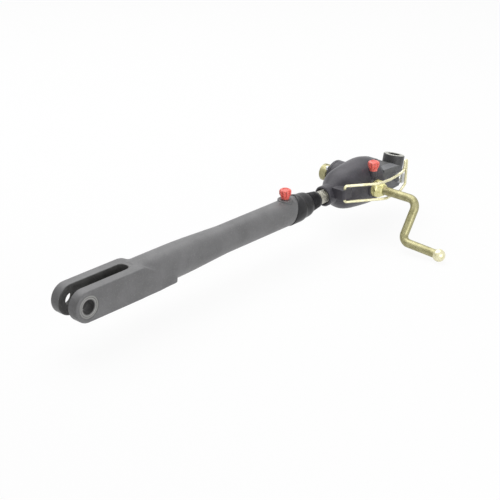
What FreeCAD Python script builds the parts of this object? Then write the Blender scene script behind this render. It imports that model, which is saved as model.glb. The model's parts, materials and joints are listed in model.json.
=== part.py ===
import FreeCAD
import Part
import math
import os

os.makedirs("parts", exist_ok=True)

V = FreeCAD.Vector
X = V(1, 0, 0)
Y = V(0, 1, 0)
Z = V(0, 0, 1)

# main sizes in millimetres: x runs along the arm, z is up, the crank handle is on the -y side
centre_distance = 648.0
crank_to_knuckle = 86.0
pin_radius = 9.7
eye_radius = 21.5
fork_width = 49.0
fork_gap = 18.5
slot_end = 86.0
edge_round = 2.2
spot_radius = 16.0
spot_depth = 0.5
barrel_radius = 20.0
barrel_root_radius = 24.0
boot_length = 48.0
rest_gap = 15.0
screw_radius = 10.0
screw_engaged = 134.0
neck_radius = 15.5
neck_wall = 3.0
dome_radius = 35.0
dome_joint = 24.0
front_boss_radius = 15.5
gear_module = 2.5
pinion_teeth = 12
gear_teeth = 18
shaft_radius = 7.0
bush_wall = 2.5
rod_radius = 6.4
crank_hub_radius = 12.9
hub_disc = 4.8
crank_throw = 63.5
crank_throw_angle = 33.5
handle_y = -114.0
grip_length = 62.0
ball_radius = 9.4
wire_radius = 2.0
ear_outer = 30.0
ear_inner = 14.0
ear_radius = 17.5
pivot_radius = 8.0
pin_head = 12.0
knuckle_reach = 27.0
knuckle_tilt = 14.3
boss_radius = 16.5
boss_top = 28.0
boss_bottom = 20.0

# places along the arm that follow from them
crank_x = centre_distance - crank_to_knuckle
neck_x = crank_x - 82.0
joint_x = crank_x + dome_joint
boot_tip = neck_x - rest_gap
barrel_end = boot_tip - boot_length
knuckle_pin_x = centre_distance - knuckle_reach
shoulder_x = crank_x - 40.0
apex = V(crank_x, 0, 0)

# small gaps between pieces
running = 0.06
seat = 0.02
swing_gap = 0.4
beyond = 5.0


def save(shape, name):
    shape.exportStep("parts/" + name + ".step")


def rod(start, direction, radius, length):
    return Part.makeCylinder(radius, length, start, direction)


def tube(start, direction, outer, inner, length):
    return rod(start, direction, outer, length).cut(rod(start, direction, inner, length))


def box(low, high):
    return Part.makeBox(high[0] - low[0], high[1] - low[1], high[2] - low[2], V(*low))


# a closed outline of (along, radius) points turned about an axis
def turned(points, origin=V(0, 0, 0), axis=X):
    side = Z if axis != Z else X
    corners = [origin + axis * along + side * radius for along, radius in points]
    face = Part.Face(Part.makePolygon(corners + corners[:1]))
    return face.revolve(origin, axis, 360)


# as turned about x, with a smooth curve through the points in the middle
def smooth_turned(points, curved, closing):
    edges = [Part.makeLine(V(*a), V(*b)) for a, b in zip(points[:-1], points[1:])]
    curve = Part.BSplineCurve()
    curve.interpolate([V(*points[-1])] + [V(*c) for c in curved])
    edges.append(curve.toShape())
    tail = [curved[-1]] + closing + [points[0]]
    edges += [Part.makeLine(V(*a), V(*b)) for a, b in zip(tail[:-1], tail[1:])]
    return Part.Face(Part.Wire(edges)).revolve(V(0, 0, 0), X, 360)


# a round wire through corner points, with each corner rounded to its own bend radius
def bent(points, bends, radius):
    edges = []
    last = points[0]
    for before, corner, after, bend in zip(points[:-2], points[1:-1], points[2:], bends):
        into = (before - corner).normalize()
        out = (after - corner).normalize()
        half = into.getAngle(out) / 2
        reach = bend / math.tan(half)
        start = corner + into * reach
        end = corner + out * reach
        middle_line = (into + out).normalize()
        middle = corner + middle_line * (bend / math.sin(half) - bend)
        edges.append(Part.makeLine(last, start))
        edges.append(Part.Arc(start, middle, end).toShape())
        last = end
    edges.append(Part.makeLine(last, points[-1]))
    path = Part.Wire(edges)
    profile = Part.Wire(Part.makeCircle(radius, points[0], points[1] - points[0]))
    return path.makePipeShell([profile], True, False)


def around(shape, count, origin, axis, first=0.0):
    copies = []
    for i in range(count):
        copy = shape.copy()
        copy.rotate(origin, axis, first + 360.0 * i / count)
        copies.append(copy)
    return copies


def fuse(shapes):
    return shapes[0].multiFuse(shapes[1:]).removeSplitter()


# bevel gears: both are cut about the point where their axes cross
pinion_r = gear_module * pinion_teeth / 2
gear_r = gear_module * gear_teeth / 2
cone_length = math.hypot(pinion_r, gear_r)
face_share = 0.70
addendum = 0.85 * gear_module
dedendum = 1.1 * gear_module
backlash = 0.36
pressure_angle = math.radians(20)


def involute(angle):
    return math.tan(angle) - angle


# the space between two teeth, seen square to the pitch cone, on the cone's +x side
def gap_outline(teeth, own_r, other_r, scale):
    cos_d = other_r / cone_length
    sin_d = own_r / cone_length
    flat_r = own_r / cos_d
    flat_teeth = teeth / cos_d
    base = flat_r * math.cos(pressure_angle)
    tooth_half = math.pi / (2 * flat_teeth) - backlash / (4 * flat_r) + involute(pressure_angle)
    side = []
    for step in range(5):
        r = flat_r - dedendum + (dedendum + addendum + 0.6) * step / 4
        turn = involute(math.acos(base / r)) if r > base else 0.0
        side.append((r, math.pi / flat_teeth - tooth_half + turn))
    outline = side + [(r, -a) for r, a in reversed(side)]
    points = []
    for r, a in outline:
        up = r * math.cos(a) - flat_r
        across = r * math.sin(a)
        points.append(V(own_r + up * cos_d, across, other_r - up * sin_d) * scale)
    return Part.makePolygon(points + points[:1])


# a bevel gear with its cone tip at the origin and its axis along z
def bevel(teeth, own_r, other_r, bore, hub_radius, hub_end, web_start, first):
    cos_d = other_r / cone_length
    sin_d = own_r / cone_length
    tip = (own_r + addendum * cos_d, other_r - addendum * sin_d)
    root = (own_r - dedendum * cos_d, other_r + dedendum * sin_d)
    under = (root[0] - 1.2 * cos_d, root[1] + 1.2 * sin_d)
    small_tip = (tip[0] * face_share, tip[1] * face_share)
    small_root = (root[0] * face_share - 0.5 * cos_d, root[1] * face_share + 0.5 * sin_d)
    inner = max(bore + 0.9, small_root[0] - 0.6)
    outline = [(web_start, bore), (web_start, inner), (small_root[1], inner),
               (small_root[1], small_root[0]), (small_tip[1], small_tip[0]),
               (tip[1], tip[0]), (under[1], under[0]),
               (under[1] + 0.8, hub_radius), (hub_end, hub_radius), (hub_end, bore)]
    blank = turned(outline, V(0, 0, 0), Z)
    gap = Part.makeLoft([gap_outline(teeth, own_r, other_r, 1.15),
                         gap_outline(teeth, own_r, other_r, 0.55)], True, True)
    return blank.cut(around(gap, teeth, V(0, 0, 0), Z, first))


# forged lower fork: a rounded block with the slot and the cross hole, drawn out into the threaded barrel
block_end = 156.0
block_top_end = slot_end + 12.0
straight_x = 264.0
bore_bottom = barrel_end - screw_engaged - 18.0
half_w = fork_width / 2
half_gap = fork_gap / 2

low_left = V(0, -half_w, -eye_radius)
low_right = V(block_end, -half_w, -eye_radius)
end_corner = V(block_end, -half_w, -eye_radius * 0.55)
top_right = V(block_top_end, -half_w, eye_radius)
top_left = V(0, -half_w, eye_radius)
block_lines = [Part.makeLine(a, b) for a, b in [(low_left, low_right), (low_right, end_corner),
                                                (end_corner, top_right), (top_right, top_left)]]
eye_arc = Part.Arc(top_left, V(-eye_radius, -half_w, 0), low_left).toShape()
block = Part.Face(Part.Wire(block_lines + [eye_arc])).extrude(Y * fork_width)
top_corner = [e for e in block.Edges if abs(e.BoundBox.XMin - block_top_end) < 0.01
              and e.BoundBox.XLength < 0.01 and e.BoundBox.YLength > fork_width - 0.01]
block = block.makeFillet(6.0, top_corner)
outer_edges = [e for e in block.Edges if e.BoundBox.YLength < 0.01 and e.BoundBox.XMin < block_top_end]
block = block.makeFillet(edge_round, outer_edges)
stem = turned([(slot_end - 4, 0), (slot_end - 4, barrel_root_radius - 5),
               (slot_end + 6, barrel_root_radius - 1), (slot_end + 22, barrel_root_radius),
               (168, barrel_root_radius), (200, barrel_root_radius - 0.9),
               (straight_x, barrel_radius + 0.2), (barrel_end - 1.2, barrel_radius),
               (barrel_end, barrel_radius - 1.2), (barrel_end, barrel_radius - 4.6),
               (barrel_end + 12, barrel_radius - 4.6), (barrel_end + 12, 0)])
through = eye_radius * 2
slot = fuse([box((-through, -half_gap, -through), (slot_end - half_gap, half_gap, through)),
             rod(V(slot_end - half_gap, 0, -through), Z, half_gap, through * 2)])
fork = fuse([block, stem]).cut(slot)
ear_edges = []
for edge in fork.Edges:
    bound = edge.BoundBox
    in_slot = bound.XMax < slot_end + 1 and abs(abs(bound.YMin) - half_gap) < 0.6
    if in_slot and bound.YLength < 0.01:
        ear_edges.append(edge)
fork = fork.makeFillet(1.2, ear_edges)
mouth_size = 0.8
face_y = half_w - spot_depth
pin_hole = rod(V(0, -half_w - 1, 0), Y, pin_radius, fork_width + 2)
near_mouth = Part.makeCone(pin_radius + mouth_size, pin_radius, mouth_size, V(0, -face_y, 0), Y)
far_mouth = Part.makeCone(pin_radius + mouth_size, pin_radius, mouth_size, V(0, face_y, 0), Y * -1)
near_spot = rod(V(0, -face_y, 0), Y * -1, spot_radius, beyond)
far_spot = rod(V(0, face_y, 0), Y, spot_radius, beyond)
screw_hole = rod(V(bore_bottom, 0, 0), X, screw_radius + 0.08, barrel_end + 20 - bore_bottom)
nipple_x = barrel_end - 21.0
pad_radius = 7.5
barrel_pad_top = barrel_radius + 1.6
nipple_hole = rod(V(nipple_x, 0, 0), Z, 2.5, barrel_radius + beyond)
nipple_pad = rod(V(nipple_x, 0, 0), Z, pad_radius, barrel_pad_top)
fork = fuse([fork, nipple_pad])
fork = fork.cut([pin_hole, near_mouth, far_mouth, near_spot, far_spot, screw_hole, nipple_hole])
save(fork, "lower_fork")


# grease nipple with its plastic cap, both standing upright on a pad
def nipple(foot):
    outline = [(-4.5, 1.2), (-4.5, 2.48), (0, 2.48), (0, 4.5), (3, 4.5), (3, 2.6), (6.5, 2.6),
               (8.5, 3.3), (10, 2.0), (10, 0.9), (2, 0.9), (2, 1.2)]
    return turned(outline, foot, Z)


def nipple_cap(foot):
    outline = [(0, 5.0), (0, 6.0), (3.0, 6.2), (7.0, 8.6), (12.8, 8.8), (14.2, 8.2), (15.2, 6.4), (15.2, 0),
               (12, 0), (12, 3.5), (3.6, 3.5), (3.6, 5.0)]
    flute = rod(foot + V(9.6, 0, 5), Z, 1.7, 20)
    return turned(outline, foot, Z).cut(around(flute, 10, foot, Z))


barrel_foot = V(nipple_x, 0, barrel_pad_top)
save(nipple(barrel_foot), "barrel_nipple")
save(nipple_cap(barrel_foot), "barrel_nipple_cap")

# rubber boot over the end of the barrel, its lip close round the screw
spigot = barrel_radius - 4.6
boot_shoulder = barrel_end + boot_length * 0.27
boot = turned([(barrel_end, spigot + 0.05), (barrel_end, barrel_radius - 0.9),
               (barrel_end + 2, barrel_radius - 0.5), (boot_shoulder, barrel_radius - 0.5),
               (boot_shoulder + 7, barrel_radius - 1.6),
               (boot_tip - 20, barrel_radius - 4), (boot_tip - 15, barrel_radius - 4.6),
               (boot_tip - 12, barrel_radius - 4.2), (boot_tip - 9, barrel_radius - 5.4),
               (boot_tip - 6, barrel_radius - 5.0), (boot_tip - 3, barrel_radius - 6.4),
               (boot_tip, barrel_radius - 7.2), (boot_tip, screw_radius + 0.3),
               (boot_tip - 4, screw_radius + 0.3), (boot_tip - 8, screw_radius + 2),
               (boot_shoulder, screw_radius + 2), (boot_shoulder, spigot + 0.05)])
save(boot, "barrel_boot")

# lift screw, held by a thrust bearing, the driven gear and a nut
gear_x = crank_x - pinion_r
gear_hub_end = crank_x - shoulder_x - 10.5
journal = screw_radius - 1.0
screw_start = barrel_end - screw_engaged
nut_length = 5.0
journal_start = shoulder_x - 10.0
screw = turned([(screw_start, 0), (screw_start, screw_radius - 1.5), (screw_start + 1.5, screw_radius),
                (journal_start, screw_radius), (journal_start, journal), (gear_x, journal),
                (gear_x, journal - 1), (gear_x + nut_length, journal - 1), (gear_x + nut_length, 0)])
key_half = 2.0
key_box = box((gear_x - 12, -key_half, journal - 2.2), (gear_x - 1.2, key_half, journal + 1.6))
save(screw.cut(key_box), "lift_screw")
save(key_box, "gear_key")

driven = bevel(gear_teeth, gear_r, pinion_r, journal + seat, journal + 6, gear_hub_end, pinion_r, 0)
driven.rotate(V(0, 0, 0), Y, -90)
driven.rotate(V(0, 0, 0), X, 90)
driven.translate(apex)
save(driven.cut(key_box), "driven_gear")

washer_plate = 1.0
nut_outer = journal + 3.2
nut = tube(V(gear_x + washer_plate, 0, 0), X, nut_outer, journal - 1 + seat, nut_length - washer_plate)
nut_slot = box((gear_x + 3.4, -1.5, nut_outer - 1.6), (gear_x + 10, 1.5, nut_outer + 2))
nut = nut.cut(around(nut_slot, 6, V(0, 0, 0), X))
save(nut, "gear_nut")
save(tube(V(gear_x, 0, 0), X, nut_outer + 0.6, journal - 1 + seat, washer_plate), "lock_washer")

race_outer = journal + 6.5
race_width = 2.5
ball_radius_small = 2.72
fixed_race_end = shoulder_x + race_width
ball_x = fixed_race_end + ball_radius_small + 0.03
cage_half = 2.0
save(tube(V(shoulder_x, 0, 0), X, race_outer, journal + 0.3, race_width), "thrust_race_fixed")
cage = tube(V(ball_x - cage_half, 0, 0), X, race_outer - 0.8, journal + 0.4, cage_half * 2)
ball_place = V(ball_x, 0, (race_outer + journal) / 2)
balls = around(Part.makeSphere(ball_radius_small, ball_place), 12, V(0, 0, 0), X)
save(fuse([cage] + balls), "thrust_balls")
turning_race_x = ball_x + ball_radius_small + 0.03
save(tube(V(turning_race_x, 0, 0), X, race_outer, journal + seat, race_width), "thrust_race_turning")

# gear housing: a turned neck and dome with bosses for the crank, the bail and the grease nipple
shell_curve = [(neck_x + 24, neck_radius + 5.5), (neck_x + 34, dome_radius - 7.2),
               (neck_x + 48, dome_radius - 3.2), (crank_x - 18, dome_radius - 1.2),
               (crank_x, dome_radius + 0.4), (crank_x + 12, dome_radius + 0.8),
               (joint_x, dome_radius - 1.0)]
neck_end = neck_x + 16.0
housing = smooth_turned([(neck_x, 0, 0), (neck_x, neck_radius - 1.5, 0), (neck_x + 1.5, neck_radius, 0),
                         (neck_end, neck_radius, 0)],
                        [(a, r, 0) for a, r in shell_curve], [(joint_x, 0, 0)])
cavity_r = gear_r + addendum + 1.2
opening_r = pinion_r + addendum + 0.6
cover_circle = opening_r + 3.1
cover_radius = cover_circle + 3.2
bolt_radius = 2.0
side_y = dome_radius + 3
front_y = -(dome_radius + 1.5)
side_boss = rod(V(crank_x, 8, 0), Y, cover_radius, side_y - 8)
front_boss = rod(V(crank_x, -10, 0), Y * -1, front_boss_radius, -front_y - 10)
lug_x = neck_end
hinge_y = -29.0
lug_middle = 7.0
lug_half = 7.5
lug = box((lug_x - 7, hinge_y - 3.6, lug_middle - lug_half), (lug_x + 14, -10, lug_middle + lug_half))
lug_corners = [e for e in lug.Edges if e.BoundBox.ZLength > lug_half and e.BoundBox.YMin < hinge_y - 3]
lug = lug.makeFillet(3.6, lug_corners)
dome_nipple_y = front_y + 6.0
dome_pad_top = front_boss_radius + 11.0
dome_foot = V(crank_x, dome_nipple_y, dome_pad_top)
dome_pad = rod(V(crank_x, dome_nipple_y, 0), Z, 5.2, dome_pad_top)
housing = fuse([housing, side_boss, lug, front_boss, dome_pad])
bearing_end = shoulder_x + 12.0
cavity = turned([(shoulder_x, 0), (shoulder_x, race_outer + seat), (bearing_end, race_outer + seat),
                 (bearing_end + 1, cavity_r + 1.5), (joint_x - 8, cavity_r + 1.5), (joint_x - 8, cavity_r),
                 (joint_x + 1, cavity_r), (joint_x + 1, 0)])
neck_bore = screw_radius + neck_wall
bush_outer = shaft_radius + bush_wall
past_joint = dome_radius * 2
housing = housing.cut([
    cavity,
    rod(V(crank_x, 0, 0), Y, opening_r, side_y + 1),
    box((joint_x, -past_joint, -past_joint), (joint_x + past_joint, past_joint, past_joint)),
    rod(V(crank_x, 0, 0), Y * -1, bush_outer, -front_y + beyond),
    rod(V(neck_x - 1, 0, 0), X, neck_bore, shoulder_x + 2 - neck_x),
    rod(V(lug_x, hinge_y, lug_middle - lug_half - 1), Z, wire_radius + running, lug_half * 2 + 2),
    rod(V(crank_x, dome_nipple_y, 0), Z, 2.5, dome_pad_top + 1)])
cover_hole = rod(V(crank_x + cover_circle, side_y - 9, 0), Y, bolt_radius, 10)
housing = housing.cut(around(cover_hole, 4, apex, Y, 45))
lock_x = joint_x - 3
housing = housing.cut(rod(V(lock_x, 0, -cavity_r + 2), Z * -1, 2.5, dome_radius))
save(housing, "gear_housing")
save(nipple(dome_foot), "dome_nipple")
save(nipple_cap(dome_foot), "dome_nipple_cap")

seal_end = neck_x + 6.0
bush_length = journal_start - 0.5 - seal_end
save(tube(V(seal_end, 0, 0), X, neck_bore - seat, screw_radius + running, bush_length), "neck_bush")
save(turned([(neck_x + 1, neck_bore - seat), (seal_end, neck_bore - seat),
             (seal_end, screw_radius + 0.8), (seal_end - 2, screw_radius + 0.3),
             (seal_end - 3.4, screw_radius + 0.8), (neck_x + 1, screw_radius + 1.6)]), "neck_seal")

# upper yoke: a cover screwed into the dome, with two ears for the knuckle
flange_r = dome_radius - 2
flange_face = joint_x + 8.5
spigot_start = joint_x - 5.5
gasket_thick = 0.8
flange = turned([(spigot_start, cavity_r - 4), (spigot_start, cavity_r - seat),
                 (joint_x + gasket_thick, cavity_r - seat), (joint_x + gasket_thick, flange_r),
                 (flange_face - 4, flange_r), (flange_face, flange_r - 3.5), (flange_face, 0),
                 (joint_x + 3, 0), (joint_x + 3, cavity_r - 4)])
ear_side = Part.Face(Part.makePolygon([
    V(joint_x + 3, 0, -ear_radius - 1.5), V(knuckle_pin_x, 0, -ear_radius), V(knuckle_pin_x, 0, ear_radius),
    V(joint_x + 3, 0, ear_radius + 1.5), V(joint_x + 3, 0, -ear_radius - 1.5)]))
ears = []
for low in (-ear_outer, ear_inner):
    plate = ear_side.extrude(Y * (ear_outer - ear_inner))
    plate.translate(Y * low)
    ears.append(fuse([plate, rod(V(knuckle_pin_x, low, 0), Y, ear_radius, ear_outer - ear_inner)]))
keep = rod(V(spigot_start, 0, 0), X, dome_radius, knuckle_pin_x + ear_radius + beyond - spigot_start)
web = box((joint_x + 3, -ear_inner - 1, -ear_radius), (flange_face + 5.5, ear_inner + 1, ear_radius))
yoke = fuse([flange, web] + [ear.common(keep) for ear in ears])
hollow = rod(V(knuckle_pin_x, -ear_inner, 0), Y, ear_radius + 4.5, ear_inner * 2)
pivot_bore = rod(V(knuckle_pin_x, -ear_outer - 1, 0), Y, pivot_radius + seat, ear_outer * 2 + 2)
yoke = yoke.cut([hollow, pivot_bore])
save(yoke, "upper_yoke")
save(tube(V(joint_x, 0, 0), X, flange_r - 0.5, cavity_r + 0.3, gasket_thick), "yoke_gasket")
lock_length = dome_radius - 3.0 - cavity_r
save(rod(V(lock_x, 0, -cavity_r), Z * -1, 2.5 - seat, lock_length), "yoke_lock_screw")

# knuckle: an eye between the ears and a boss with an upright bore, leaning down a little as it hangs
eye_half = ear_inner - swing_gap
knuckle_eye = rod(V(knuckle_pin_x, -eye_half, 0), Y, ear_radius - 0.5, eye_half * 2)
tongue_half = 12.0
tongue = box((knuckle_pin_x, -eye_half, -tongue_half), (centre_distance - 4, eye_half, tongue_half))
boss = rod(V(centre_distance, 0, -boss_bottom), Z, boss_radius, boss_bottom + boss_top)
boss = boss.makeChamfer(1.0, [e for e in boss.Edges if e.BoundBox.ZLength < 0.01])
knuckle = fuse([knuckle_eye, tongue, boss])
knuckle_bore = rod(V(centre_distance, 0, -boss_bottom - 1), Z, pin_radius, boss_bottom + boss_top + 2)
pivot_hole = rod(V(knuckle_pin_x, -ear_outer, 0), Y, pivot_radius + running, ear_outer * 2)
knuckle = knuckle.cut([knuckle_bore, pivot_hole])
knuckle.rotate(V(knuckle_pin_x, 0, 0), Y, knuckle_tilt)
save(knuckle, "knuckle")

pin_start = -ear_outer - pin_head
pin_tail = 4.6
knuckle_pin = rod(V(knuckle_pin_x, pin_start, 0), Y, pivot_radius, ear_outer + pin_tail - pin_start)
knuckle_pin = knuckle_pin.makeChamfer(0.8, [e for e in knuckle_pin.Edges if e.BoundBox.YLength < 0.01])
clip_y = ear_outer + 0.7
pin_groove = tube(V(knuckle_pin_x, clip_y - 0.1, 0), Y, pivot_radius + 1, pivot_radius - 1.2, 1.5)
save(knuckle_pin.cut(pin_groove), "knuckle_pin")
clip = tube(V(knuckle_pin_x, clip_y, 0), Y, pivot_radius + 2.6, pivot_radius - 1.15, 1.3)
clip = clip.cut(box((knuckle_pin_x - 3, ear_outer, 0), (knuckle_pin_x + 3, ear_outer + 3, 20)))
save(clip, "knuckle_pin_clip")
washer = tube(V(knuckle_pin_x, ear_outer, 0), Y, pivot_radius + 4, pivot_radius + 0.1, 0.7)
save(washer, "knuckle_pin_washer")

# side cover with the rear bush
gasket_y = 0.6
cover_y = side_y + gasket_y
cover_plate = 5.2
cover_boss = 12.4
plug_depth = 4.6
cover_gasket = tube(V(crank_x, side_y, 0), Y, cover_radius - 0.4, opening_r + 0.4, gasket_y)
cover = turned([(0, bush_outer), (0, cover_radius), (cover_plate - 1.2, cover_radius),
                (cover_plate, cover_radius - 1.4), (cover_plate, bush_outer + 4),
                (cover_boss, bush_outer + 2.5), (cover_boss, bush_outer)], V(crank_x, cover_y, 0), Y)
plug = tube(V(crank_x, cover_y - plug_depth, 0), Y, opening_r - 0.1, bush_outer, plug_depth)
cover = fuse([cover, plug])
bolt_way = bolt_radius + 0.2
bolt_foot = V(crank_x + cover_circle, side_y - 8, 0)
bolt_pass = rod(bolt_foot, Y, bolt_way, 8 + gasket_y + cover_plate + 1)
cover = cover.cut(around(bolt_pass, 4, apex, Y, 45))
save(cover, "side_cover")
save(cover_gasket.cut(around(bolt_pass, 4, apex, Y, 45)), "side_cover_gasket")
bolt = fuse([rod(bolt_foot, Y, bolt_radius - seat, 8 + gasket_y + cover_plate),
             rod(V(crank_x + cover_circle, cover_y + cover_plate, 0), Y, bolt_radius + 1.4, 3.2)])
socket = Part.Face(Part.makePolygon([
    V(crank_x + cover_circle + 1.7 * math.cos(a), cover_y + cover_plate + 1.4, 1.7 * math.sin(a))
    for a in [math.radians(60 * i) for i in range(7)]])).extrude(Y * 4)
bolt = bolt.cut(socket)
for i, copy in enumerate(around(bolt, 4, apex, Y, 45)):
    save(copy, "side_cover_screw_" + str(i + 1))
rear_bush_start = V(crank_x, cover_y - plug_depth, 0)
bush_inner = shaft_radius + running
save(tube(rear_bush_start, Y, bush_outer - seat, bush_inner, plug_depth + cover_boss), "rear_bush")
save(tube(V(crank_x, front_y, 0), Y, bush_outer - seat, bush_inner, 9), "front_bush")

# crank: shaft right through the housing, pinion, collar, hub, bent rod and ball
washer_thick = 1.8
end_float = 0.3
inner_washer_y = front_y - end_float - washer_thick
outer_washer_y = inner_washer_y - end_float - washer_thick
hub_y = outer_washer_y - end_float
hub_length = 12.0
hub_bore = 8.0
collar_y = cover_y + cover_boss + 0.8
collar_width = 14.0
collar_radius = shaft_radius + 6.2
shaft = rod(V(crank_x, hub_y - hub_bore, 0), Y, shaft_radius, collar_y + collar_width - hub_y + hub_bore)
pin_half = 2.0
hub_pin_radius = 1.5
pinion_hub_end = cover_y - plug_depth - 1.0
pinion_pin_y = pinion_hub_end - 3.3
collar_middle = collar_y + collar_width / 2
hub_pin_y = hub_y - hub_disc / 2
collar_pin_hole = rod(V(crank_x, collar_middle, -collar_radius - 1), Z, pin_half, collar_radius * 2 + 2)
hub_pin_hole = rod(V(crank_x - crank_hub_radius - 1, hub_pin_y, 0), X,
                   hub_pin_radius, crank_hub_radius * 2 + 2)
pinion_hub_radius = shaft_radius + 4.5
pinion_pin_hole = rod(V(crank_x, pinion_pin_y, -pinion_hub_radius - 1), Z,
                      pin_half, pinion_hub_radius * 2 + 2)
save(shaft.cut([collar_pin_hole, hub_pin_hole, pinion_pin_hole]), "crank_shaft")

pinion = bevel(pinion_teeth, pinion_r, gear_r, shaft_radius + seat, pinion_hub_radius, pinion_hub_end,
               gear_r * face_share - 1.2, 15)
pinion.rotate(V(0, 0, 0), X, -90)
pinion.translate(apex)
save(pinion.cut(pinion_pin_hole), "pinion")
pinion_pin_half = pinion_hub_radius - 0.5
save(rod(V(crank_x, pinion_pin_y, -pinion_pin_half), Z, pin_half - seat, pinion_pin_half * 2), "pinion_pin")

collar = turned([(0, shaft_radius + seat), (0, collar_radius - 1.2), (1.2, collar_radius),
                 (collar_width - 1.2, collar_radius), (collar_width, collar_radius - 1.2),
                 (collar_width, shaft_radius + seat)], V(crank_x, collar_y, 0), Y)
save(collar.cut(collar_pin_hole), "rear_collar")
collar_pin_half = collar_radius - 0.6
collar_pin_foot = V(crank_x, collar_middle, -collar_pin_half)
save(rod(collar_pin_foot, Z, pin_half - seat, collar_pin_half * 2), "rear_collar_pin")

save(tube(V(crank_x, inner_washer_y, 0), Y, crank_hub_radius + 0.2, shaft_radius + running, washer_thick),
     "thrust_washer_inner")
save(tube(V(crank_x, outer_washer_y, 0), Y, crank_hub_radius - 0.5, shaft_radius + running, washer_thick),
     "thrust_washer_outer")

hub = turned([(0, shaft_radius + seat), (0, crank_hub_radius - 1.0), (-1.0, crank_hub_radius),
              (-hub_disc + 1.2, crank_hub_radius), (-hub_disc, crank_hub_radius - 1.2),
              (-hub_length + 1.5, rod_radius + 2.2),
              (-hub_length, rod_radius + 1.0), (-hub_length, 0), (-hub_bore - 0.1, 0),
              (-hub_bore - 0.1, shaft_radius + seat)], V(crank_x, hub_y, 0), Y)
save(hub.cut(hub_pin_hole), "crank_hub")
hub_pin_half = crank_hub_radius - 0.7
hub_pin_foot = V(crank_x - hub_pin_half, hub_pin_y, 0)
save(rod(hub_pin_foot, X, hub_pin_radius - seat, hub_pin_half * 2), "crank_hub_pin")

lean = math.radians(crank_throw_angle)
throw = V(-math.sin(lean), 0, -math.cos(lean)) * crank_throw
rod_start = V(crank_x, hub_y - hub_length, 0)
first_corner = V(crank_x, handle_y, 0)
second_corner = first_corner + throw
rod_end = second_corner + V(grip_length * 0.09, -grip_length, -grip_length * 0.097)
crank_rod = bent([rod_start, first_corner, second_corner, rod_end], [15, 12], rod_radius)
save(crank_rod, "crank_rod")
grip_way = (rod_end - second_corner).normalize()
ball_centre = rod_end + grip_way
ball_hole = rod(rod_end - grip_way * 20, grip_way, rod_radius + seat, 20)
save(Part.makeSphere(ball_radius, ball_centre).cut(ball_hole), "crank_ball")

# wire bail round the crank: two hooks in the lug, two strands past the hub and a narrow finger loop
loop_y = -ear_outer - pin_head - 4.5
loop_x = knuckle_pin_x + 1.0
hook_rise = 12.5
bail_points = [
    V(lug_x, hinge_y, lug_middle + 2), V(lug_x, hinge_y, lug_middle + hook_rise),
    V(crank_x - 17, hinge_y - 27, 16.8), V(crank_x + 13, loop_y - 6.5, 14), V(loop_x - 18, loop_y, 11.5),
    V(loop_x - 4.5, loop_y, 15), V(loop_x - 2.5, loop_y, 30.5), V(loop_x + 2, loop_y, 30.5),
    V(loop_x, loop_y, -8), V(loop_x - 13, loop_y - 0.5, -16), V(crank_x - 6, hinge_y - 31, -9.5),
    V(lug_x, hinge_y, lug_middle - hook_rise), V(lug_x, hinge_y, lug_middle - 2)]
bail_bends = [4, 16, 20, 12, 3.5, 2.1, 2.1, 6, 9, 14, 4]
save(bent(bail_points, bail_bends, wire_radius), "wire_bail")
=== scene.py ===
import bpy
import json
import math
from mathutils import Vector, Matrix


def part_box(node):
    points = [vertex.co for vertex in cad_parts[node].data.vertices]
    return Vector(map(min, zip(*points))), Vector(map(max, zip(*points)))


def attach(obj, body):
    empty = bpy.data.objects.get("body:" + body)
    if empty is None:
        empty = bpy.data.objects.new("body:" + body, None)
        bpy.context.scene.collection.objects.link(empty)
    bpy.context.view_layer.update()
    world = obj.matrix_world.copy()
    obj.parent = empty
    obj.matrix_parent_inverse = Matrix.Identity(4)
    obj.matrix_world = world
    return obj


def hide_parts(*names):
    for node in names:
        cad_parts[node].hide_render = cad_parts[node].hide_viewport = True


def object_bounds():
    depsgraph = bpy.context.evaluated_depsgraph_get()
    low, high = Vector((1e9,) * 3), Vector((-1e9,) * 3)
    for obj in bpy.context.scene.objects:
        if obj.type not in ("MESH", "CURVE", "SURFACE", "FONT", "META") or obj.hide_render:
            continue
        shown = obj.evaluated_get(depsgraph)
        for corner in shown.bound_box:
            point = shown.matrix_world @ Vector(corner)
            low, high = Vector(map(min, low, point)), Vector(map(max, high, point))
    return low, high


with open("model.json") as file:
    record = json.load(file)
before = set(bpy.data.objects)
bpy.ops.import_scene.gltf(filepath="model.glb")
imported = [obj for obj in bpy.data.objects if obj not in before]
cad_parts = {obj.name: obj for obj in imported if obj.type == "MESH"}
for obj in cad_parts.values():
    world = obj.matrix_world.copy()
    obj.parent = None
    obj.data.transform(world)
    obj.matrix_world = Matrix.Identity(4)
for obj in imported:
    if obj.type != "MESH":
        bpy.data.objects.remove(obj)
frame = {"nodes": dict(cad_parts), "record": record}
nodes = frame["nodes"]
cadBox = [list(corner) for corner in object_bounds()]
print("frame loaded:", len(nodes), "nodes")

mm = 0.001  # sizes below are in millimetres
weldGap = 0.01 * mm  # vertices nearer to each other than this are merged


def linear(hexColour):
    values = [int(hexColour[i:i + 2], 16) / 255 for i in (1, 3, 5)]
    return [v / 12.92 if v <= 0.04045 else ((v + 0.055) / 1.055) ** 2.4 for v in values] + [1.0]


def addNode(tree, kind, settings=None, links=None):
    node = tree.nodes.new(kind)
    for key, value in (settings or {}).items():
        if isinstance(key, int) or key in node.inputs:
            node.inputs[key].default_value = value
        else:
            setattr(node, key, value)
    for key, source in (links or {}).items():
        tree.links.new(source, node.inputs[key])
    return node


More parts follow.
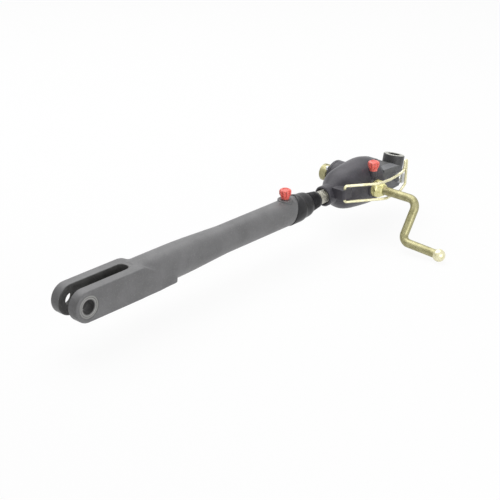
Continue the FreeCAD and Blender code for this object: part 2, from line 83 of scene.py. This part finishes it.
# each finish: base and shade drift into each other in patches, with flecks (painted highlights on the red
# caps) and a fine grain in relief; patch, fleckSize, grain and relief (its height) are in mm, sheen is how
# strongly the surface mirrors
finishes = {
    # satin paint sprayed over forge scale: soft highlights, faint pits
    "satinPaintOnForging": {
        "base": "#79797a", "shade": "#6c6c6d", "fleckAndGlint": "#888887",
        "patch": 34, "fleckSize": 1.6, "fleckShare": 0.6, "grain": 1.3, "relief": 0.045,
        "rough": (0.36, 0.5), "metallic": 0.0, "sheen": 0.3},
    # the same paint, dull and darker inside the milled slot and the pin hole: the darker colour is painted
    # shade in these recesses
    "shadedPaintInSlot": {
        "base": "#5c5c5b", "shade": "#474746", "fleckAndGlint": "#72726f",
        "patch": 18, "fleckSize": 1.4, "fleckShare": 0.6, "grain": 1.0, "relief": 0.04,
        "rough": (0.55, 0.7), "metallic": 0.0},
    # paint over the faced ring round the pin hole: the cutter's rings show through, drawn wider apart
    # than the real 0.3 mm
    "paintOnFacedRing": {
        "base": "#7c7c7b", "shade": "#6f6f6e", "fleckAndGlint": "#9b9b99",
        "patch": 12, "fleckSize": 1.0, "fleckShare": 0.7, "grain": 0.8, "relief": 0.03,
        "rough": (0.34, 0.48), "metallic": 0.0, "ringStep": 2.6, "ringColour": "#a2a29f"},
    # the same paint, darker, over a sand casting: the sand's grain shows through
    "satinPaintOnCasting": {
        "base": "#504e54", "shade": "#414045", "fleckAndGlint": "#67646a",
        "patch": 22, "fleckSize": 1.2, "fleckShare": 0.56, "grain": 1.0, "relief": 0.06,
        "rough": (0.3, 0.44), "metallic": 0.0, "sheen": 0.25},
    # the casting paint over the yoke's flat faces, painted a little lighter and cooler: painted light on the
    # same paint
    "paintLitLighterOnYoke": {
        "base": "#68696c", "shade": "#595a5f", "fleckAndGlint": "#808186",
        "patch": 16, "fleckSize": 1.1, "fleckShare": 0.6, "grain": 0.9, "relief": 0.05,
        "rough": (0.3, 0.42), "metallic": 0.0},
    # phosphated forging: nearly black, dry, a little uneven, with a painted highlight on its boss's top face
    "phosphatedSteel": {
        "base": "#4d4d4e", "shade": "#3f3f40", "fleckAndGlint": "#646463",
        "patch": 14, "fleckSize": 0.9, "fleckShare": 0.6, "grain": 0.8, "relief": 0.03,
        "rough": (0.40, 0.55), "metallic": 0.2, "topHighlightColour": "#b3b3ac"},
    # moulded nitrile rubber: dark, with a soft sheen on its shoulder
    "nitrileRubber": {
        "base": "#202022", "shade": "#2a2a2c", "fleckAndGlint": "#39393c",
        "patch": 12, "fleckSize": 0.7, "fleckShare": 0.5, "grain": 0.5, "relief": 0.012,
        "rough": (0.28, 0.4), "metallic": 0.0, "sheen": 0.3},
    # moulded polythene cap: warm red with a soft gloss, and pale flecks all over that are painted highlights
    "redPolythene": {
        "base": "#fa7d72", "shade": "#e95f55", "fleckAndGlint": "#fcc2ba",
        "patch": 6, "fleckSize": 1.3, "fleckShare": 1.0, "grain": 0.6, "relief": 0.01,
        "rough": (0.24, 0.36), "metallic": 0.0, "sheen": 0.4},
    # yellow chromate over zinc on bent bar: olive straw with paler streaks, rubbed by handling
    "yellowChromate": {
        "base": "#afaa80", "shade": "#908b62", "fleckAndGlint": "#d3cea6",
        "patch": 9, "fleckSize": 1.3, "fleckShare": 0.7, "grain": 0.7, "relief": 0.012,
        "rough": (0.32, 0.46), "metallic": 0.5},
    # the same chromate on turned parts: thinner and brighter, pale lemon
    "paleChromate": {
        "base": "#f1edb4", "shade": "#d9d394", "fleckAndGlint": "#fbf8d8",
        "patch": 6, "fleckSize": 0.9, "fleckShare": 0.6, "grain": 0.6, "relief": 0.01,
        "rough": (0.26, 0.4), "metallic": 0.55},
    # chromate on drawn wire and on the turned ball: thinnest of all, creamy white
    "creamChromate": {
        "base": "#f6f1d0", "shade": "#dfd9aa", "fleckAndGlint": "#fffdea",
        "patch": 8, "fleckSize": 0.9, "fleckShare": 0.6, "grain": 0.5, "relief": 0.008,
        "rough": (0.24, 0.36), "metallic": 0.5},
    # bright zinc: cool silver, slightly cloudy
    "brightZinc": {
        "base": "#c9cacc", "shade": "#b4b6b9", "fleckAndGlint": "#dcdddf",
        "patch": 5, "fleckSize": 0.6, "fleckShare": 0.6, "grain": 0.5, "relief": 0.008,
        "rough": (0.25, 0.36), "metallic": 0.9},
    # turned steel with a film of oil: warm silver
    "turnedSteel": {
        "base": "#d9d7cd", "shade": "#c3c1b8", "fleckAndGlint": "#ebe9e0",
        "patch": 7, "fleckSize": 0.5, "fleckShare": 0.6, "grain": 0.4, "relief": 0.006,
        "rough": (0.22, 0.34), "metallic": 0.75},
    # cast and turned bronze: brown gold
    "turnedBronze": {
        "base": "#b58a52", "shade": "#9d7543", "fleckAndGlint": "#c9a06a",
        "patch": 6, "fleckSize": 0.6, "fleckShare": 0.6, "grain": 0.4, "relief": 0.006,
        "rough": (0.26, 0.38), "metallic": 1.0},
    # oiled gasket paper: brown, fibrous
    "gasketPaper": {
        "base": "#5a4c39", "shade": "#493d2e", "fleckAndGlint": "#6d5e49",
        "patch": 5, "fleckSize": 0.5, "fleckShare": 0.8, "grain": 0.3, "relief": 0.02,
        "rough": (0.6, 0.75), "metallic": 0.0},
}
plainSheen = 0.5  # for the finishes that name none

# what all finishes share: the noise between low and high is stretched over the whole range
pattern = {
    "patchLow": 0.35, "patchHigh": 0.65, "patchDetail": 4.0, "patchRoughness": 0.6,
    "fleckLow": 0.56, "fleckHigh": 0.74, "fleckDetail": 2.0,
    "grainDetail": 3.0, "grainStrength": 0.6,
    "ringDetail": 1.0, "ringWobble": 0.8}
waveUnit = math.tau / 20  # a wave texture of scale 1 repeats itself after this many metres

# the top face of the knuckle's boss, along the axis of its bore, is painted light: a painted highlight
highlightEdgeDepth = 0.4  # how much of the edge takes the painted highlight too
knuckleBore = next(mount for mount in frame["record"]["mounts"] if mount["name"] == "knuckle_pin_hole")
boreAxis = Vector(knuckleBore["axis"]).normalized()
bossTop = max(boreAxis.dot(vertex.co) for vertex in nodes["knuckle"].data.vertices)
highlightedTop = {"axis": tuple(boreAxis), "level": bossTop - highlightEdgeDepth * mm}


def makeFinish(name, spec):
    material = bpy.data.materials.new(name)
    material.use_nodes = True
    tree = material.node_tree
    shader = tree.nodes["Principled BSDF"]
    shader.inputs["Metallic"].default_value = spec["metallic"]
    shader.inputs["Specular IOR Level"].default_value = spec.get("sheen", plainSheen)
    place = addNode(tree, "ShaderNodeTexCoord").outputs["Object"]
    patches = addNode(tree, "ShaderNodeTexNoise",
                      {"Scale": 1 / (spec["patch"] * mm), "Detail": pattern["patchDetail"],
                       "Roughness": pattern["patchRoughness"]}, {"Vector": place}).outputs["Fac"]
    spread = addNode(tree, "ShaderNodeMapRange",
                     {"From Min": pattern["patchLow"], "From Max": pattern["patchHigh"]},
                     {"Value": patches}).outputs[0]
    flecks = addNode(tree, "ShaderNodeTexNoise",
                     {"Scale": 1 / (spec["fleckSize"] * mm), "Detail": pattern["fleckDetail"]},
                     {"Vector": place}).outputs["Fac"]
    fleckAndGlintMask = addNode(tree, "ShaderNodeMapRange",
                        {"From Min": pattern["fleckLow"], "From Max": pattern["fleckHigh"],
                         "To Max": spec["fleckShare"]}, {"Value": flecks}).outputs[0]
    ground = addNode(tree, "ShaderNodeMix",
                     {"data_type": "RGBA", 6: linear(spec["base"]), 7: linear(spec["shade"])},
                     {0: spread}).outputs[2]
    # pale flecks over the ground; on the red caps they are painted highlights
    colour = addNode(tree, "ShaderNodeMix", {"data_type": "RGBA", 7: linear(spec["fleckAndGlint"])},
                     {0: fleckAndGlintMask, 6: ground}).outputs[2]
    if "ringColour" in spec:
        rings = addNode(tree, "ShaderNodeTexWave",
                        {"wave_type": "RINGS", "rings_direction": "Y",
                         "Scale": waveUnit / (spec["ringStep"] * mm), "Distortion": pattern["ringWobble"],
                         "Detail": pattern["ringDetail"]}, {"Vector": place}).outputs["Fac"]
        colour = addNode(tree, "ShaderNodeMix", {"data_type": "RGBA", 7: linear(spec["ringColour"])},
                         {0: rings, 6: colour}).outputs[2]
    # the boss's top face and edge painted light: painted highlight
    if "topHighlightColour" in spec:
        height = addNode(tree, "ShaderNodeVectorMath", {"operation": "DOT_PRODUCT", 1: highlightedTop["axis"]},
                         {0: place}).outputs["Value"]
        highlighted = addNode(tree, "ShaderNodeMath", {"operation": "GREATER_THAN", 1: highlightedTop["level"]},
                       {0: height}).outputs[0]
        colour = addNode(tree, "ShaderNodeMix", {"data_type": "RGBA", 7: linear(spec["topHighlightColour"])},
                         {0: highlighted, 6: colour}).outputs[2]
    gloss = addNode(tree, "ShaderNodeMapRange", {"To Min": spec["rough"][0], "To Max": spec["rough"][1]},
                    {"Value": flecks}).outputs[0]
    grain = addNode(tree, "ShaderNodeTexNoise",
                    {"Scale": 1 / (spec["grain"] * mm), "Detail": pattern["grainDetail"]},
                    {"Vector": place}).outputs["Fac"]
    relief = addNode(tree, "ShaderNodeBump",
                     {"Strength": pattern["grainStrength"], "Distance": spec["relief"] * mm},
                     {"Height": grain}).outputs["Normal"]
    tree.links.new(colour, shader.inputs["Base Color"])
    tree.links.new(gloss, shader.inputs["Roughness"])
    tree.links.new(relief, shader.inputs["Normal"])
    return material


materials = {name: makeFinish(name, spec) for name, spec in finishes.items()}
slotFinish = {
    "grey_paint": "satinPaintOnForging", "charcoal_paint": "satinPaintOnCasting",
    "dark_steel": "phosphatedSteel", "black_rubber": "nitrileRubber", "red_plastic": "redPolythene",
    "bright_zinc": "brightZinc", "machined_steel": "turnedSteel", "bronze": "turnedBronze",
    "gasket_paper": "gasketPaper", "yellow_zinc": "yellowChromate"}
for subpart in frame["record"]["subparts"]:
    nodes[subpart["node"]].material_slots[0].material = materials[slotFinish[subpart["material_slot"]]]
# nodes whose finish is thinner or lighter than the rest of their slot; the yoke's lighter paint is painted
# light
ownFinish = {
    "crank_hub": "paleChromate", "thrust_washer_inner": "paleChromate",
    "thrust_washer_outer": "paleChromate", "crank_ball": "creamChromate", "wire_bail": "creamChromate",
    "upper_yoke": "paintLitLighterOnYoke"}
for nodeName, finish in ownFinish.items():
    nodes[nodeName].material_slots[0].material = materials[finish]
print("finishes made:", len(materials))


def selectOnly(piece):
    bpy.ops.object.select_all(action="DESELECT")
    piece.select_set(True)
    bpy.context.view_layer.objects.active = piece


def applyAll(piece):
    selectOnly(piece)
    for modifier in list(piece.modifiers):
        bpy.ops.object.modifier_apply(modifier=modifier.name)


def cleanUp(piece):
    selectOnly(piece)
    bpy.ops.object.mode_set(mode="EDIT")
    bpy.ops.mesh.select_all(action="SELECT")
    bpy.ops.mesh.remove_doubles(threshold=weldGap)
    bpy.ops.mesh.normals_make_consistent(inside=False)
    bpy.ops.mesh.select_all(action="DESELECT")
    bpy.ops.object.mode_set(mode="OBJECT")


def lathe(name, outline, steps, lead=0.0, turns=1):
    # a plane is merged to one vertex, walked along the outline of (radius, height), then turned about z
    bpy.ops.object.select_all(action="DESELECT")
    bpy.ops.mesh.primitive_plane_add(size=2 * mm)
    piece = bpy.context.object
    piece.name = name
    bpy.ops.object.mode_set(mode="EDIT")
    bpy.ops.mesh.select_mode(type="VERT")
    bpy.ops.mesh.select_all(action="SELECT")
    bpy.ops.mesh.merge(type="CENTER")
    bpy.ops.transform.translate(value=(outline[0][0] * mm, 0, outline[0][1] * mm))
    for before, after in zip(outline[:-1], outline[1:]):
        step = ((after[0] - before[0]) * mm, 0, (after[1] - before[1]) * mm)
        bpy.ops.mesh.extrude_region_move(TRANSFORM_OT_translate={"value": step})
    bpy.ops.object.mode_set(mode="OBJECT")
    turn = piece.modifiers.new("turn", "SCREW")
    turn.steps = turn.render_steps = steps
    turn.screw_offset = lead * mm
    turn.iterations = turns
    turn.use_merge_vertices = True
    turn.merge_threshold = weldGap
    applyAll(piece)
    cleanUp(piece)
    return piece


def placePiece(piece, foot, direction):
    selectOnly(piece)
    turn = Vector(direction).to_track_quat("Z", "Y").to_matrix().to_4x4()
    piece.matrix_world = Matrix.Translation(Vector(foot) * mm) @ turn
    bpy.ops.object.transform_apply(location=True, rotation=True, scale=True)


def bevelEdges(piece, width, angle):
    bevel = piece.modifiers.new("soften", "BEVEL")
    bevel.width = width * mm
    bevel.segments = 2
    bevel.limit_method = "ANGLE"
    bevel.angle_limit = math.radians(angle)
    applyAll(piece)


def keepStretch(piece, low, high):
    # keeps what lies between two places along the arm, and closes the cut ends
    selectOnly(piece)
    bpy.ops.object.mode_set(mode="EDIT")
    for place, outer in ((low, False), (high, True)):
        bpy.ops.mesh.select_all(action="SELECT")
        bpy.ops.mesh.bisect(plane_co=(place * mm, 0, 0), plane_no=(1, 0, 0), use_fill=True,
                            clear_inner=not outer, clear_outer=outer)
    bpy.ops.object.mode_set(mode="OBJECT")


def joinPieces(pieces):
    selectOnly(pieces[0])
    for piece in pieces[1:]:
        piece.select_set(True)
    bpy.ops.object.join()
    return pieces[0]


def finishPiece(piece, body, slotName, replaced=(), angle=35):
    selectOnly(piece)
    bpy.ops.object.shade_smooth_by_angle(angle=math.radians(angle))
    piece.data.materials.clear()
    piece.data.materials.append(materials[slotFinish[slotName]])
    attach(piece, body)
    if replaced:
        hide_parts(*replaced)
    bpy.ops.object.select_all(action="DESELECT")


# lower fork: the CAD shape, with the corners between its block and the round barrel drawn soft as forged
forkForging = {
    "softFrom": 92.0, "softTo": 176.0,  # along the arm
    "spare": 5.0,  # the soft stretch is cut this much longer first, and trimmed after the smoothing
    "fade": 9.0, "voxel": 0.9, "passes": 100, "factor": 0.5,
    "edgeLow": -19.0, "edgeHigh": -12.0, "edgeShare": 0.15,  # the long lower edges stay crisp
    "stepNear": 120.0, "stepFade": 22.0,  # but the step at their end is softened
    "slotHalf": 9.4, "slotEnd": 86.3, "bore": 10.0,
    "ring": 16.1, "ringFace": 24.0, "ringFlat": 0.05}


def forkCopy(name, low, high):
    piece = bpy.data.objects.new(name, nodes["lower_fork"].data.copy())
    bpy.context.collection.objects.link(piece)
    cleanUp(piece)
    keepStretch(piece, low, high)
    return piece


def softShare(place):
    # how much of the smoothing a vertex takes, from its place along the arm and its height
    along, height = place.x / mm, place.z / mm
    inside = min(along - forkForging["softFrom"], forkForging["softTo"] - along)
    edgeDepth = forkForging["edgeHigh"] - forkForging["edgeLow"]
    aboveEdge = (height - forkForging["edgeLow"]) / edgeDepth
    nearStep = (along - forkForging["stepNear"]) / forkForging["stepFade"]
    share = min(1, max(forkForging["edgeShare"], aboveEdge, nearStep))
    return min(1, max(0, inside / forkForging["fade"])) * share


forkLow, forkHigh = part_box("lower_fork")
eyePart = forkCopy("forgedFork", forkLow.x / mm - forkForging["spare"], forkForging["softFrom"])
barrelPart = forkCopy("forkBarrel", forkForging["softTo"], forkHigh.x / mm + forkForging["spare"])
softPart = forkCopy("forkBlend", forkForging["softFrom"] - forkForging["spare"],
                    forkForging["softTo"] + forkForging["spare"])
even = softPart.modifiers.new("even", "REMESH")
even.mode = "VOXEL"
even.voxel_size = forkForging["voxel"] * mm
applyAll(softPart)
middlePart = softPart.vertex_groups.new(name="middle")
for vertex in softPart.data.vertices:
    middlePart.add([vertex.index], softShare(vertex.co), "REPLACE")
soften = softPart.modifiers.new("soften", "SMOOTH")
soften.factor = forkForging["factor"]
soften.iterations = forkForging["passes"]
soften.vertex_group = "middle"
applyAll(softPart)
keepStretch(softPart, forkForging["softFrom"], forkForging["softTo"])
fork = joinPieces([eyePart, softPart, barrelPart])
finishPiece(fork, "barrel", "grey_paint", ["lower_fork"])
fork.data.materials.append(materials["shadedPaintInSlot"])
fork.data.materials.append(materials["paintOnFacedRing"])
slotShadePaint, ringPaint = 1, 2  # their places in the fork's list of materials
for face in fork.data.polygons:
    along, side, height = face.center / mm
    radius = math.hypot(along, height)
    inSlot = along < forkForging["slotEnd"] and abs(side) < forkForging["slotHalf"]
    onRingFace = abs(abs(side) - forkForging["ringFace"]) < forkForging["ringFlat"]
    # the slot's walls and floor and the pin hole take the darker paint: painted shade
    if inSlot or radius < forkForging["bore"]:
        face.material_index = slotShadePaint
    elif radius < forkForging["ring"] and onRingFace:
        face.material_index = ringPaint
print("fork forged")

# lift screw: two-start trapezoidal thread of 8 mm lead, then the plain journal for the bush and gear
screwLow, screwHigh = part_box("lift_screw")
threadedScrew = {
    "start": screwLow.x / mm, "threadEnd": screwHigh.x / mm - 40.5,
    "journalEnd": screwHigh.x / mm - 5, "end": screwHigh.x / mm,
    "root": 8.1, "crest": 10.0, "pitch": 4.0, "lead": 8.0, "runIn": 6.0,
    "flankStart": 1.2, "crestStart": 1.75, "crestEnd": 3.3, "flankEnd": 3.85,
    "journal": 9.0, "tail": 8.0, "chamfer": 0.8, "overlap": 0.2, "threadSteps": 40, "journalSteps": 48}
root, crest = threadedScrew["root"], threadedScrew["crest"]
ridge = [(root, 0), (root, threadedScrew["flankStart"]), (crest, threadedScrew["crestStart"]),
         (crest, threadedScrew["crestEnd"]), (root, threadedScrew["flankEnd"])]
outline = [(radius, height + threadedScrew["pitch"] * start) for start in (0, 1) for radius, height in ridge]
outline += [(root, threadedScrew["lead"])]
threadLength = threadedScrew["threadEnd"] - threadedScrew["start"]
threadTurns = int(threadLength / threadedScrew["lead"]) + 2  # two to spare, cut off below
screwPiece = lathe("screwThread", outline, threadedScrew["threadSteps"], threadedScrew["lead"], threadTurns)
placePiece(screwPiece, (threadedScrew["start"] - threadedScrew["runIn"], 0, 0), (1, 0, 0))
keepStretch(screwPiece, threadedScrew["start"], threadedScrew["threadEnd"])
journalLength = threadedScrew["journalEnd"] - threadedScrew["threadEnd"]
plainLength = threadedScrew["end"] - threadedScrew["threadEnd"]
journal = lathe("screwJournal", [
    (0, 0), (threadedScrew["journal"], 0), (threadedScrew["journal"], journalLength),
    (threadedScrew["tail"], journalLength), (threadedScrew["tail"], plainLength - threadedScrew["chamfer"]),
    (threadedScrew["tail"] - threadedScrew["chamfer"], plainLength), (0, plainLength)],
    threadedScrew["journalSteps"])
placePiece(journal, (threadedScrew["threadEnd"] - threadedScrew["overlap"], 0, 0), (1, 0, 0))
joinPieces([screwPiece, journal])
finishPiece(screwPiece, "screw", "machined_steel", ["lift_screw"])
print("lift screw threaded")

# rubber boot: a cuff drawn askew over the barrel, a shoulder, then narrow ribs down to a lip on the screw;
# its outlines are points of (radius, place along the arm)
bootShape = {
    "start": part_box("barrel_boot")[0].x / mm, "steps": 72,
    "shoulder": [(15.46, 0), (19.6, 0), (19.8, 3.0), (19.6, 7.0), (18.8, 10.0), (18.9, 14.0), (18.7, 18.0),
                 (18.1, 22.0), (16.9, 25.0), (14.9, 27.2)],
    "ribs": 6, "ribStart": 28.6, "ribStep": 2.7, "ribRadius": 14.8, "ribTaper": 0.36, "ribDepth": 1.5,
    "grooveWidth": 0.7, "crestStart": 1.3, "crestEnd": 1.9,
    "lip": [(12.6, 45.4), (12.6, 47.4), (12.1, 48.0), (10.4, 48.0), (10.35, 46.5), (10.35, 44.0)],
    "inside": [(12.0, 40.0), (12.0, 13.0), (15.46, 13.0), (15.46, 0)],
    "cuff": [(20.95, -24), (20.95, 1.0), (20.65, 3.5), (19.95, 6.5)],
    "cuffReach": 9.0, "cuffSlant": 0.38, "cuffWall": 0.85,
    "bevel": 0.25, "bevelAngle": 30, "smoothAngle": 50}
outline = list(bootShape["shoulder"])
for rib in range(bootShape["ribs"]):
    low = bootShape["ribStart"] + rib * bootShape["ribStep"]
    outer = bootShape["ribRadius"] - rib * bootShape["ribTaper"]
    groove = outer - bootShape["ribDepth"]
    outline += [(groove, low), (groove, low + bootShape["grooveWidth"]),
                (outer, low + bootShape["crestStart"]), (outer, low + bootShape["crestEnd"])]
outline += bootShape["lip"] + bootShape["inside"]
boot = lathe("rubberBoot", outline, bootShape["steps"])
cuff = lathe("bootCuff", bootShape["cuff"], bootShape["steps"])
for piece in (boot, cuff):
    placePiece(piece, (bootShape["start"], 0, 0), (1, 0, 0))
selectOnly(cuff)
bpy.ops.object.mode_set(mode="EDIT")
bpy.ops.mesh.select_all(action="SELECT")
bpy.ops.mesh.bisect(plane_co=((bootShape["start"] - bootShape["cuffReach"]) * mm, 0, 0),
                    plane_no=(1, -bootShape["cuffSlant"], -bootShape["cuffSlant"]), clear_inner=True)
bpy.ops.object.mode_set(mode="OBJECT")
wall = cuff.modifiers.new("wall", "SOLIDIFY")
wall.thickness = bootShape["cuffWall"] * mm
wall.offset = -1
applyAll(cuff)
joinPieces([boot, cuff])
bevelEdges(boot, bootShape["bevel"], bootShape["bevelAngle"])
finishPiece(boot, "barrel", "black_rubber", ["barrel_boot"], bootShape["smoothAngle"])
print("boot made")

# red caps pressed over the grease nipples: a slim foot that opens into a fluted head with a dished top;
# its outlines are points of (radius, height)
greaseCap = {
    "foot": [(5.0, 0.1), (6.0, 0.1), (6.1, 2.6), (6.9, 4.2)],
    "head": [(8.25, 6.6), (8.75, 8.0), (8.75, 12.4), (8.05, 13.6), (6.55, 14.4)],
    "dish": [(5.4, 15.0), (4.6, 15.0), (3.4, 13.7), (0, 13.7)],
    "inside": [(0, 12.0), (3.5, 12.0), (3.5, 3.6), (5.0, 3.6), (5.0, 0.1)],
    "flutes": 10, "fluteSteps": 4, "pressedSteps": 2, "fluteLow": 4.0, "fluteHigh": 13.4,
    "fluteInner": 6.3, "fluteOuter": 8.75, "fluteDepth": 1.5,
    "bevel": 0.22, "bevelAngle": 35, "smoothAngle": 40}


def makeCap(name, node, body):
    steps = greaseCap["flutes"] * greaseCap["fluteSteps"]
    outline = greaseCap["foot"] + greaseCap["head"] + greaseCap["dish"] + greaseCap["inside"]
    cap = lathe(name, outline, steps)
    for face in cap.data.polygons:
        middle = face.center / mm
        radius = math.hypot(middle.x, middle.y)
        step = int((math.atan2(middle.y, middle.x) / math.tau % 1) * steps) % greaseCap["fluteSteps"]
        onSide = radius > greaseCap["fluteInner"]
        inHeight = greaseCap["fluteLow"] < middle.z < greaseCap["fluteHigh"]
        face.select = onSide and inHeight and step < greaseCap["pressedSteps"]
    bpy.ops.object.mode_set(mode="EDIT")
    bpy.ops.mesh.select_mode(type="FACE")
    bpy.ops.mesh.extrude_region_move(TRANSFORM_OT_translate={"value": (0, 0, 0)})
    inward = 1 - greaseCap["fluteDepth"] / greaseCap["fluteOuter"]
    bpy.ops.transform.resize(value=(inward, inward, 1), center_override=(0, 0, 0))
    bpy.ops.object.mode_set(mode="OBJECT")
    bevelEdges(cap, greaseCap["bevel"], greaseCap["bevelAngle"])
    low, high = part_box(node)
    placePiece(cap, ((low.x + high.x) / 2 / mm, (low.y + high.y) / 2 / mm, low.z / mm), (0, 0, 1))
    finishPiece(cap, body, "red_plastic", [node], greaseCap["smoothAngle"])


makeCap("barrelCap", "barrel_nipple_cap", "barrel")
makeCap("domeCap", "dome_nipple_cap", "housing")
print("caps made")

# painted ring that the barrel's nipple pad stands in, its foot sunk in the barrel
padRing = {
    "inner": 7.55, "outer": 11.3, "foot": 15.9, "top": 21.4, "outerRound": 0.7, "innerRound": 0.4,
    "steps": 56, "bevel": 0.2, "bevelAngle": 30}
ring = lathe("padRing", [
    (padRing["inner"], padRing["foot"]), (padRing["outer"], padRing["foot"]),
    (padRing["outer"], padRing["top"] - padRing["outerRound"]),
    (padRing["outer"] - padRing["outerRound"], padRing["top"]),
    (padRing["inner"] + padRing["innerRound"], padRing["top"]),
    (padRing["inner"], padRing["top"] - padRing["innerRound"]), (padRing["inner"], padRing["foot"])],
    padRing["steps"])
capLow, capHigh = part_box("barrel_nipple_cap")
placePiece(ring, ((capLow.x + capHigh.x) / 2 / mm, 0, 0), (0, 0, 1))
bevelEdges(ring, padRing["bevel"], padRing["bevelAngle"])
finishPiece(ring, "barrel", "grey_paint")
print("pad ring made")

# camera worked out from the two pin holes and the barrel's edges: angles in degrees, offset in mm,
# focal length and picture width in pixels
camera = {"yaw": 42.6, "pitch": 24.0, "offset": (-217.5, -64.5, 1742.8), "focal": 1392.8, "picture": 500}
sensorWidth = 36  # Blender's own
yaw, pitch = math.radians(camera["yaw"]), math.radians(camera["pitch"])
forward = Vector((math.cos(yaw) * math.cos(pitch), math.sin(yaw) * math.cos(pitch), -math.sin(pitch)))
right = Vector((math.sin(yaw), -math.cos(yaw), 0))
up = right.cross(forward)
across, rise, away = camera["offset"]
bpy.ops.object.camera_add()
view = bpy.context.object
view.location = -(right * across + up * rise + forward * away) * mm
view.rotation_euler = forward.to_track_quat("-Z", "Y").to_euler()
view.data.lens = sensorWidth * camera["focal"] / camera["picture"]
bpy.context.scene.camera = view


def seenDirectly(tree):
    # 1 for what the camera sees, by itself, in metal or through glass, and 0 for the light thrown on
    rays = addNode(tree, "ShaderNodeLightPath")
    mirrored = addNode(tree, "ShaderNodeMath", {"operation": "MAXIMUM"},
                       {0: rays.outputs["Is Glossy Ray"], 1: rays.outputs["Is Transmission Ray"]})
    return addNode(tree, "ShaderNodeMath", {"operation": "MAXIMUM"},
                   {0: rays.outputs["Is Camera Ray"], 1: mirrored.outputs[0]}).outputs[0]


# floor: white to the eye, but it still takes the arm's soft shadow; size and gap below the arm in metres
paleFloor = {"size": 30, "gap": 0.0004, "colour": "#f2f2f2", "roughness": 0.9, "whiteShare": 0.93}
armMiddle = Vector((0.35, 0, 0))
floorLevel = min(cadBox[0][2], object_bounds()[0][2]) - paleFloor["gap"]
bpy.ops.object.select_all(action="DESELECT")
bpy.ops.mesh.primitive_plane_add(size=paleFloor["size"], location=(armMiddle.x, armMiddle.y, floorLevel))
floor = bpy.context.object
floor.name = "paleFloor"
floorPaint = bpy.data.materials.new("paleFloorPaint")
floorPaint.use_nodes = True
tree = floorPaint.node_tree
tree.nodes["Principled BSDF"].inputs["Base Color"].default_value = linear(paleFloor["colour"])
tree.nodes["Principled BSDF"].inputs["Roughness"].default_value = paleFloor["roughness"]
whiteShare = addNode(tree, "ShaderNodeMath", {"operation": "MULTIPLY", 1: paleFloor["whiteShare"]},
                     {0: seenDirectly(tree)})
white = addNode(tree, "ShaderNodeEmission", {"Strength": 1.0})
blendWhite = addNode(tree, "ShaderNodeMixShader", None,
                     {0: whiteShare.outputs[0], 1: tree.nodes["Principled BSDF"].outputs[0],
                      2: white.outputs[0]})
tree.links.new(blendWhite.outputs[0], tree.nodes["Material Output"].inputs["Surface"])
floor.data.materials.append(floorPaint)

# room: white where it is seen, and a weak even light
softRoom = {"thrown": 0.16, "seen": 1.0}
world = bpy.data.worlds.new("softRoom")
bpy.context.scene.world = world
world.use_nodes = True
tree = world.node_tree
strength = addNode(tree, "ShaderNodeMapRange", {"To Min": softRoom["thrown"], "To Max": softRoom["seen"]},
                   {"Value": seenDirectly(tree)})
tree.nodes["Background"].inputs["Color"].default_value = (1, 1, 1, 1)
tree.links.new(strength.outputs[0], tree.nodes["Background"].inputs["Strength"])

# one broad lamp overhead, a little behind the arm, and one low in front of it: metres and watts
softLamps = {
    "overhead": {"place": (0.6, 0.6, 1.6), "size": 2.4, "power": 38},
    "lowFront": {"place": (0.1, -1.4, 0.1), "size": 1.2, "power": 13}}
for name, lamp in softLamps.items():
    bpy.ops.object.light_add(type="AREA", location=lamp["place"])
    light = bpy.context.object
    light.name = name
    light.data.shape = "DISK"
    light.data.size = lamp["size"]
    light.data.energy = lamp["power"]
    light.rotation_euler = (armMiddle - Vector(lamp["place"])).to_track_quat("-Z", "Y").to_euler()
bpy.context.scene.view_settings.view_transform = "Standard"
print("camera, floor and lamps set")
